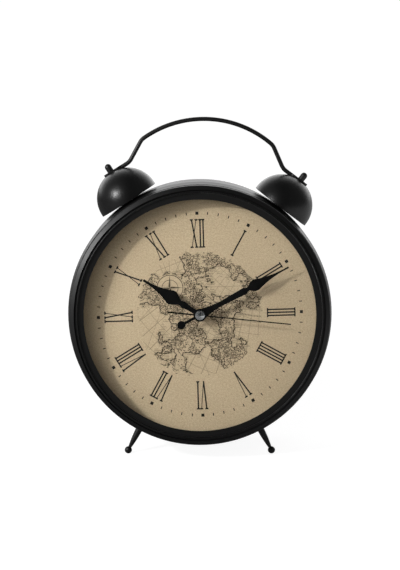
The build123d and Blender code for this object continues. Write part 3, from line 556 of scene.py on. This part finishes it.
def minute_tree(material):
    inputs = ["Radius", "Stroke length", "Stroke width", "Square side", "Film"]
    tree, given, result = add_tree("minute_track", inputs)
    ring = grow(tree, "GeometryNodeMeshCircle", {}, {"Vertices": 60, "Radius": given.outputs["Radius"]})
    index = grow(tree, "GeometryNodeInputIndex", {}, {})
    spot = grow(tree, "GeometryNodeInputPosition", {}, {})
    fifth = grow(tree, "ShaderNodeMath", {"operation": "MODULO"}, {0: index.outputs[0], 1: 5.0})
    stroke_here = grow(tree, "ShaderNodeMath", {"operation": "GREATER_THAN"}, {0: fifth.outputs[0], 1: 0.5})
    square_here = grow(tree, "ShaderNodeMath", {"operation": "LESS_THAN"}, {0: fifth.outputs[0], 1: 0.5})
    facing = grow(tree, "FunctionNodeAlignRotationToVector", {"axis": "Y", "pivot_axis": "Z"},
                  {"Vector": spot.outputs[0]})
    stroke_size = grow(tree, "ShaderNodeCombineXYZ", {}, {
        0: given.outputs["Stroke width"], 1: given.outputs["Stroke length"], 2: given.outputs["Film"]})
    square_size = grow(tree, "ShaderNodeCombineXYZ", {}, {
        0: given.outputs["Square side"], 1: given.outputs["Square side"], 2: given.outputs["Film"]})
    joined = grow(tree, "GeometryNodeJoinGeometry", {}, {})
    for size, here in ((stroke_size, stroke_here), (square_size, square_here)):
        block = grow(tree, "GeometryNodeMeshCube", {}, {"Size": size.outputs[0]})
        marks = grow(tree, "GeometryNodeInstanceOnPoints", {}, {
            "Points": ring.outputs[0], "Selection": here.outputs[0],
            "Instance": block.outputs[0], "Rotation": facing.outputs[0]})
        tree.links.new(marks.outputs[0], joined.inputs[0])
    real = grow(tree, "GeometryNodeRealizeInstances", {}, {0: joined.outputs[0]})
    inked = grow(tree, "GeometryNodeSetMaterial", {}, {"Geometry": real.outputs[0], "Material": material})
    tree.links.new(inked.outputs[0], result.inputs[0])
    return tree


def shown(piece):
    """Put an object into the scene."""
    bpy.context.scene.collection.objects.link(piece)
    return piece


def grown_piece(name, tree, sizes, place):
    """The plain mesh that a geometry tree makes with these sizes, put in its place."""
    host = shown(bpy.data.objects.new(name + "_host", bpy.data.meshes.new(name + "_host")))
    modifier = host.modifiers.new("grow", "NODES")
    modifier.node_group = tree
    for item in tree.interface.items_tree:
        if item.in_out == "INPUT":
            modifier[item.identifier] = sizes[item.name]
    ready = host.evaluated_get(bpy.context.evaluated_depsgraph_get())
    mesh = bpy.data.meshes.new_from_object(ready)
    host.modifiers.remove(modifier)
    bpy.data.objects.remove(host)
    mesh.name = name
    mesh.transform(place)
    return shown(bpy.data.objects.new(name, mesh))


print_spin = Matrix.Rotation(-math.radians(print_turn), 4, "Z")
print_place = dial_to_row @ Matrix.Translation((0, print_rise, 0)) @ print_spin
film = 0.05
track_sizes = {
    "Radius": 94.15,
    "Stroke length": 2.6,
    "Stroke width": 0.85,
    "Square side": 2.85,
    "Film": film,
}
track_place = print_place @ Matrix.Translation((0, 0, film / 2))
minute_marks = grown_piece("minute_marks", minute_tree(ink), track_sizes, track_place)
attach(minute_marks, "case")
print("minute marks", len(minute_marks.data.polygons), "faces")

# %% [markdown]
# The numerals are Roman, tall and thin, with their tops outwards and small bracketed serifs.
# Each is a row of strokes.
# One stroke of a V or X is thick and the other thin, as a broad pen would leave them.
# They are drawn in code rather than set in type, because no ready typeface is this narrow.
# A few sit off their hour's middle line by about a millimetre, as they do in the photo.

# %% Roman numerals
numeral_foot = 62.1
numeral_top = 88.7
stem_width = 1.32
hair_width = 0.68
serif_length = 3.0
serif_rise = 1.5
serif_lip = 0.65
film_step = 0.002
numerals = ["XII", "I", "II", "III", "IIII", "V", "VI", "VII", "VIII", "IX", "X", "XI"]
letter_width = {"I": 0.0, "V": 4.9, "X": 4.4}
letter_gap = {"I": 2.8, "V": 2.9, "X": 3.5}
setting_slip = {"V": 1.1, "VII": -1.25, "VIII": -0.6}


def stroke_outline(foot, top, width):
    """The four corners of a straight stroke, from a place on the foot line to one on the top line."""
    half = width / 2
    return [(foot - half, numeral_foot), (foot + half, numeral_foot),
            (top + half, numeral_top), (top - half, numeral_top)]


def serif_outline(middle, level, inward):
    """A serif that flares from the stroke to its end line."""
    half = serif_length / 2
    neck = stem_width / 2
    edge = level + inward * serif_rise
    lip = level + inward * serif_rise * serif_lip
    return [(middle - half, level), (middle + half, level), (middle + half, lip), (middle + neck, edge),
            (middle - neck, edge), (middle - half, lip)]


def letter_outlines(letter, left):
    """The strokes and serifs of one letter whose left stroke stands at a place."""
    right = left + letter_width[letter]
    if letter == "I":
        return [stroke_outline(left, left, stem_width), serif_outline(left, numeral_top, -1),
                serif_outline(left, numeral_foot, 1)]
    if letter == "V":
        point = (left + right) / 2
        return [stroke_outline(point, left, stem_width), stroke_outline(point, right, hair_width),
                serif_outline(left, numeral_top, -1), serif_outline(right, numeral_top, -1)]
    return [stroke_outline(right, left, stem_width), stroke_outline(left, right, hair_width),
            serif_outline(left, numeral_top, -1), serif_outline(right, numeral_top, -1),
            serif_outline(left, numeral_foot, 1), serif_outline(right, numeral_foot, 1)]


def numeral_outlines(numeral):
    """All outlines of a numeral, centred on its own middle line."""
    places = []
    left = 0.0
    for position, letter in enumerate(numeral):
        if position:
            before = numeral[position - 1]
            left += letter_width[before] + max(letter_gap[before], letter_gap[letter])
        places.append(left)
    middle = (left + letter_width[numeral[-1]]) / 2
    return [outline for letter, left in zip(numeral, places)
            for outline in letter_outlines(letter, left - middle)]


def add_film(mesh, outline, place, thickness):
    """A thin plate over an outline."""
    lower = [mesh.verts.new(place @ Vector((x, y, 0))) for x, y in outline]
    upper = [mesh.verts.new(place @ Vector((x, y, thickness))) for x, y in outline]
    mesh.faces.new(lower)
    mesh.faces.new(upper)
    for here in range(len(outline)):
        there = (here + 1) % len(outline)
        mesh.faces.new((lower[here], lower[there], upper[there], upper[here]))


drawing = bmesh.new()
for hour, numeral in enumerate(numerals):
    slip = Matrix.Translation((setting_slip.get(numeral, 0.0), 0, 0))
    hour_place = print_place @ Matrix.Rotation(-math.radians(30 * hour), 4, "Z") @ slip
    for rank, outline in enumerate(numeral_outlines(numeral)):
        add_film(drawing, outline, hour_place, film + film_step * rank)
bmesh.ops.recalc_face_normals(drawing, faces=drawing.faces)
numeral_mesh = bpy.data.meshes.new("roman_numerals")
drawing.to_mesh(numeral_mesh)
drawing.free()
numeral_mesh.materials.append(ink)
roman_numerals = shown(bpy.data.objects.new("roman_numerals", numeral_mesh))
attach(roman_numerals, "case")
print("numerals", len(numeral_mesh.polygons), "faces")

# %% [markdown]
# From behind, the cover's window has a soft trim on its cut edge, so that no hand meets a sharp corner.
# It is a round cord round a square with rounded corners, so Geometry Nodes sweep it along that path.
# It lies inside the window and ends level with the cover, so the clock's back stays flat.


# %% Trim in the rear window
def trim_tree(material):
    tree, given, result = add_tree("window_trim", ["Side", "Corner", "Cord radius"])
    side = given.outputs["Side"]
    square = grow(tree, "GeometryNodeCurvePrimitiveQuadrilateral", {}, {"Width": side, "Height": side})
    path = grow(tree, "GeometryNodeFilletCurve", {"mode": "POLY"}, {
        "Curve": square.outputs[0], "Count": 32, "Radius": given.outputs["Corner"], "Limit Radius": True})
    rod = grow(tree, "GeometryNodeCurvePrimitiveCircle", {}, {
        "Resolution": 16, "Radius": given.outputs["Cord radius"]})
    swept = grow(tree, "GeometryNodeCurveToMesh", {}, {
        "Curve": path.outputs[0], "Profile Curve": rod.outputs[0]})
    real = grow(tree, "GeometryNodeRealizeInstances", {}, {0: swept.outputs[0]})
    covered = grow(tree, "GeometryNodeSetMaterial", {}, {"Geometry": real.outputs[0], "Material": material})
    tree.links.new(covered.outputs[0], result.inputs[0])
    return tree


window_side = 92.0
window_corner = 5.0
cord_radius = 0.95
trim_sizes = {
    "Side": window_side - 2 * cord_radius,
    "Corner": window_corner - cord_radius,
    "Cord radius": cord_radius,
}
trim_level = heights("back_cover")[0] + cord_radius
trim_place = dial_to_row @ Matrix.Translation((0, 0, trim_level))
window_trim = grown_piece("window_trim", trim_tree(gasket_rubber), trim_sizes, trim_place)
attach(window_trim, "case")
print("window trim", len(window_trim.data.polygons), "faces")

# %% [markdown]
# Two pale signs on the movement's rear show which way round the cell goes.
# Such signs are mostly pad-printed, so they are thin films like the numerals.

# %% Signs for the battery
sign_arm = 2.2
sign_half = 0.4
sign_offset = 21.5
sign_level = -9.3
upright_film = film * 1.2
movement_back = heights("movement_cover")[0]


def bar(width, height):
    """The corners of a bar, given half its width and half its height."""
    return [(-width, -height), (width, -height), (width, height), (-width, height)]


level_bar = bar(sign_arm, sign_half)
upright_bar = bar(sign_half, sign_arm)
strokes = [
    (sign_offset, level_bar, film),
    (sign_offset, upright_bar, upright_film),
    (-sign_offset, level_bar, film),
]
signs = bmesh.new()
for offset, outline, thickness in strokes:
    sign_place = dial_to_row @ Matrix.Translation((offset, sign_level, movement_back - thickness))
    add_film(signs, outline, sign_place, thickness)
bmesh.ops.recalc_face_normals(signs, faces=signs.faces)
sign_mesh = bpy.data.meshes.new("battery_signs")
signs.to_mesh(sign_mesh)
signs.free()
sign_mesh.materials.append(pale_marks)
battery_signs = shown(bpy.data.objects.new("battery_signs", sign_mesh))
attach(battery_signs, "case")
print("battery signs", len(sign_mesh.polygons), "faces")

# %% [markdown]
# The picture was taken with a long lens, straight in front and a little above the dial.
# The scale at the bezel's front and the place of its middle in the frame fix the camera.

# %% Camera
frame_width, frame_height = 400, 570
pixel_size = 0.9182 * mm
bezel_pixel = (199.9, 316.2)
view_elevation = math.radians(14.7)
view_distance = 2.0
sensor = 24.0

sight = Vector((0, math.cos(view_elevation), -math.sin(view_elevation)))
sight_up = Vector((0, math.sin(view_elevation), math.cos(view_elevation)))
bezel_middle = dial_middle + outward * bezel_front * mm
aim = bezel_middle + sight_up * (bezel_pixel[1] - frame_height / 2) * pixel_size
aim -= rightward * (bezel_pixel[0] - frame_width / 2) * pixel_size
camera = shown(bpy.data.objects.new("camera", bpy.data.cameras.new("camera")))
camera.data.sensor_fit = "VERTICAL"
camera.data.sensor_height = sensor
camera.data.lens = sensor * view_distance / (frame_height * pixel_size)
camera.location = aim - sight * view_distance
camera.rotation_euler = sight.to_track_quat("-Z", "Y").to_euler()
bpy.context.scene.camera = camera
print("lens", round(camera.data.lens, 1), "mm")

# %% [markdown]
# One small key light stands to the left, in front and above.
# The hands' shadows on the dial give its direction.
# It is near, which makes the dial a little darker to the right.
# A wide, weak lamp in front lifts the shadows.
# It is kept out of reflections, where it would veil the glass.
# The room is dim in front, so the black paint stays dark.
# It is bright behind, so that the paint turns pale where it is seen at a flat angle.
# Seen directly, or through the glass from behind, the room is plain white.
# The floor is white to the camera.
# In reflections it brightens to the right, which gives the right bell its sheen.

# %% Light and floor
bpy.context.scene.view_settings.view_transform = "Standard"
key_direction = (rightward * -1.22 + upward * 0.62 + outward).normalized()
fill_direction = (rightward * -0.25 + upward * 0.2 + outward).normalized()


def add_lamp(name, kind, direction, distance, energy):
    """A lamp that shines on the dial's middle from a direction and a distance."""
    lamp = bpy.data.lights.new(name, kind)
    lamp.energy = energy
    holder = shown(bpy.data.objects.new(name, lamp))
    holder.location = dial_middle + direction * distance
    holder.rotation_euler = (-direction).to_track_quat("-Z", "Y").to_euler()
    return holder


key_distance = 1.1
key_level = 1.71
key_half_width = math.radians(2.2)
key_power = key_level * 4 * math.pi * key_distance ** 2
key = add_lamp("key", "POINT", key_direction, key_distance, key_power)
key.data.shadow_soft_size = key_distance * math.tan(key_half_width)
fill_level = 0.8
front_fill = add_lamp("front_fill", "SUN", fill_direction, 1.0, fill_level)
front_fill.data.angle = math.radians(50.0)
front_fill.visible_glossy = False
front_fill.visible_transmission = False

front_level = 0.022
above_level = 0.03
left_level = 0.28
right_level = 0.14
wall_start = 0.4
wall_ramp = 0.4
wall_level = 2.2
wall_fall = 1.5
scatter_level = 0.12
scatter_behind = 0.9
floor_shade = 0.25
floor_seen = 0.92
floor_side = 0.5
floor_sheen = 0.55
floor_reach = 6.0


def studio():
    """The room, as the camera, reflections and scattered light each meet it."""
    world = bpy.data.worlds.new("studio")
    world.use_nodes = True
    web = Web(world.node_tree)
    web.tree.nodes.clear()
    x, y, z = web.split(web.node("ShaderNodeTexCoord", {}, {}, "Generated"))
    behind = ((y - wall_start) / wall_ramp).maths("MINIMUM", 1.0).maths("MAXIMUM", 0.0)
    left = (0 - x).maths("MAXIMUM", 0.0)
    right = x.maths("MAXIMUM", 0.0)
    above = z.maths("MAXIMUM", 0.0)
    sides = front_level + above * above_level + left * left_level + right * right_level
    mirrored = sides + behind * (wall_level - above * wall_fall)
    rays = {kind: web.node("ShaderNodeLightPath", {}, {}, f"Is {kind} Ray")
            for kind in ("Camera", "Glossy", "Transmission")}
    direct = rays["Camera"].maths("MAXIMUM", rays["Transmission"] * (y > 0))
    reflected = rays["Glossy"].maths("MAXIMUM", rays["Transmission"])
    scattered = scatter_level + y.maths("MAXIMUM", 0.0) * scatter_behind
    indirect = mirrored * reflected + scattered * (1 - reflected)
    level = direct + indirect * (1 - direct)
    sky = web.node("ShaderNodeBackground", {}, {"Color": level})
    web.join(web.tree.nodes.new("ShaderNodeOutputWorld").inputs["Surface"], sky)
    return world


bpy.context.scene.world = studio()


def white_floor():
    """A sheet that the camera sees white, with the clock's soft shadow, and that lends little light."""
    finish = Finish("white_floor", Roughness=0.9, Specular_IOR_Level=0.0)
    finish.shader.inputs["Base Color"].default_value = (floor_shade, floor_shade, floor_shade, 1)
    rays = {kind: finish.node("ShaderNodeLightPath", {}, {}, f"Is {kind} Ray")
            for kind in ("Camera", "Glossy")}
    x, _, _ = finish.split(finish.row_coords())
    bright_side = (x / floor_side).maths("MINIMUM", 1.0).maths("MAXIMUM", 0.0)
    level = rays["Camera"] * floor_seen + rays["Glossy"] * bright_side * floor_sheen
    glow = finish.node("ShaderNodeEmission", {}, {"Color": level})
    lit = Wire(finish, finish.shader.outputs[0])
    surface = finish.node("ShaderNodeAddShader", {}, {0: lit, 1: glow})
    finish.join(finish.tree.nodes["Material Output"].inputs["Surface"], surface)
    return finish.material


floor_mesh = bpy.data.meshes.new("floor")
floor_corners = [(x * floor_reach, y * floor_reach, 0) for x, y in ((-1, -1), (1, -1), (1, 1), (-1, 1))]
floor_mesh.from_pydata(floor_corners, [], [(0, 1, 2, 3)])
floor_mesh.materials.append(white_floor())
floor = shown(bpy.data.objects.new("floor", floor_mesh))
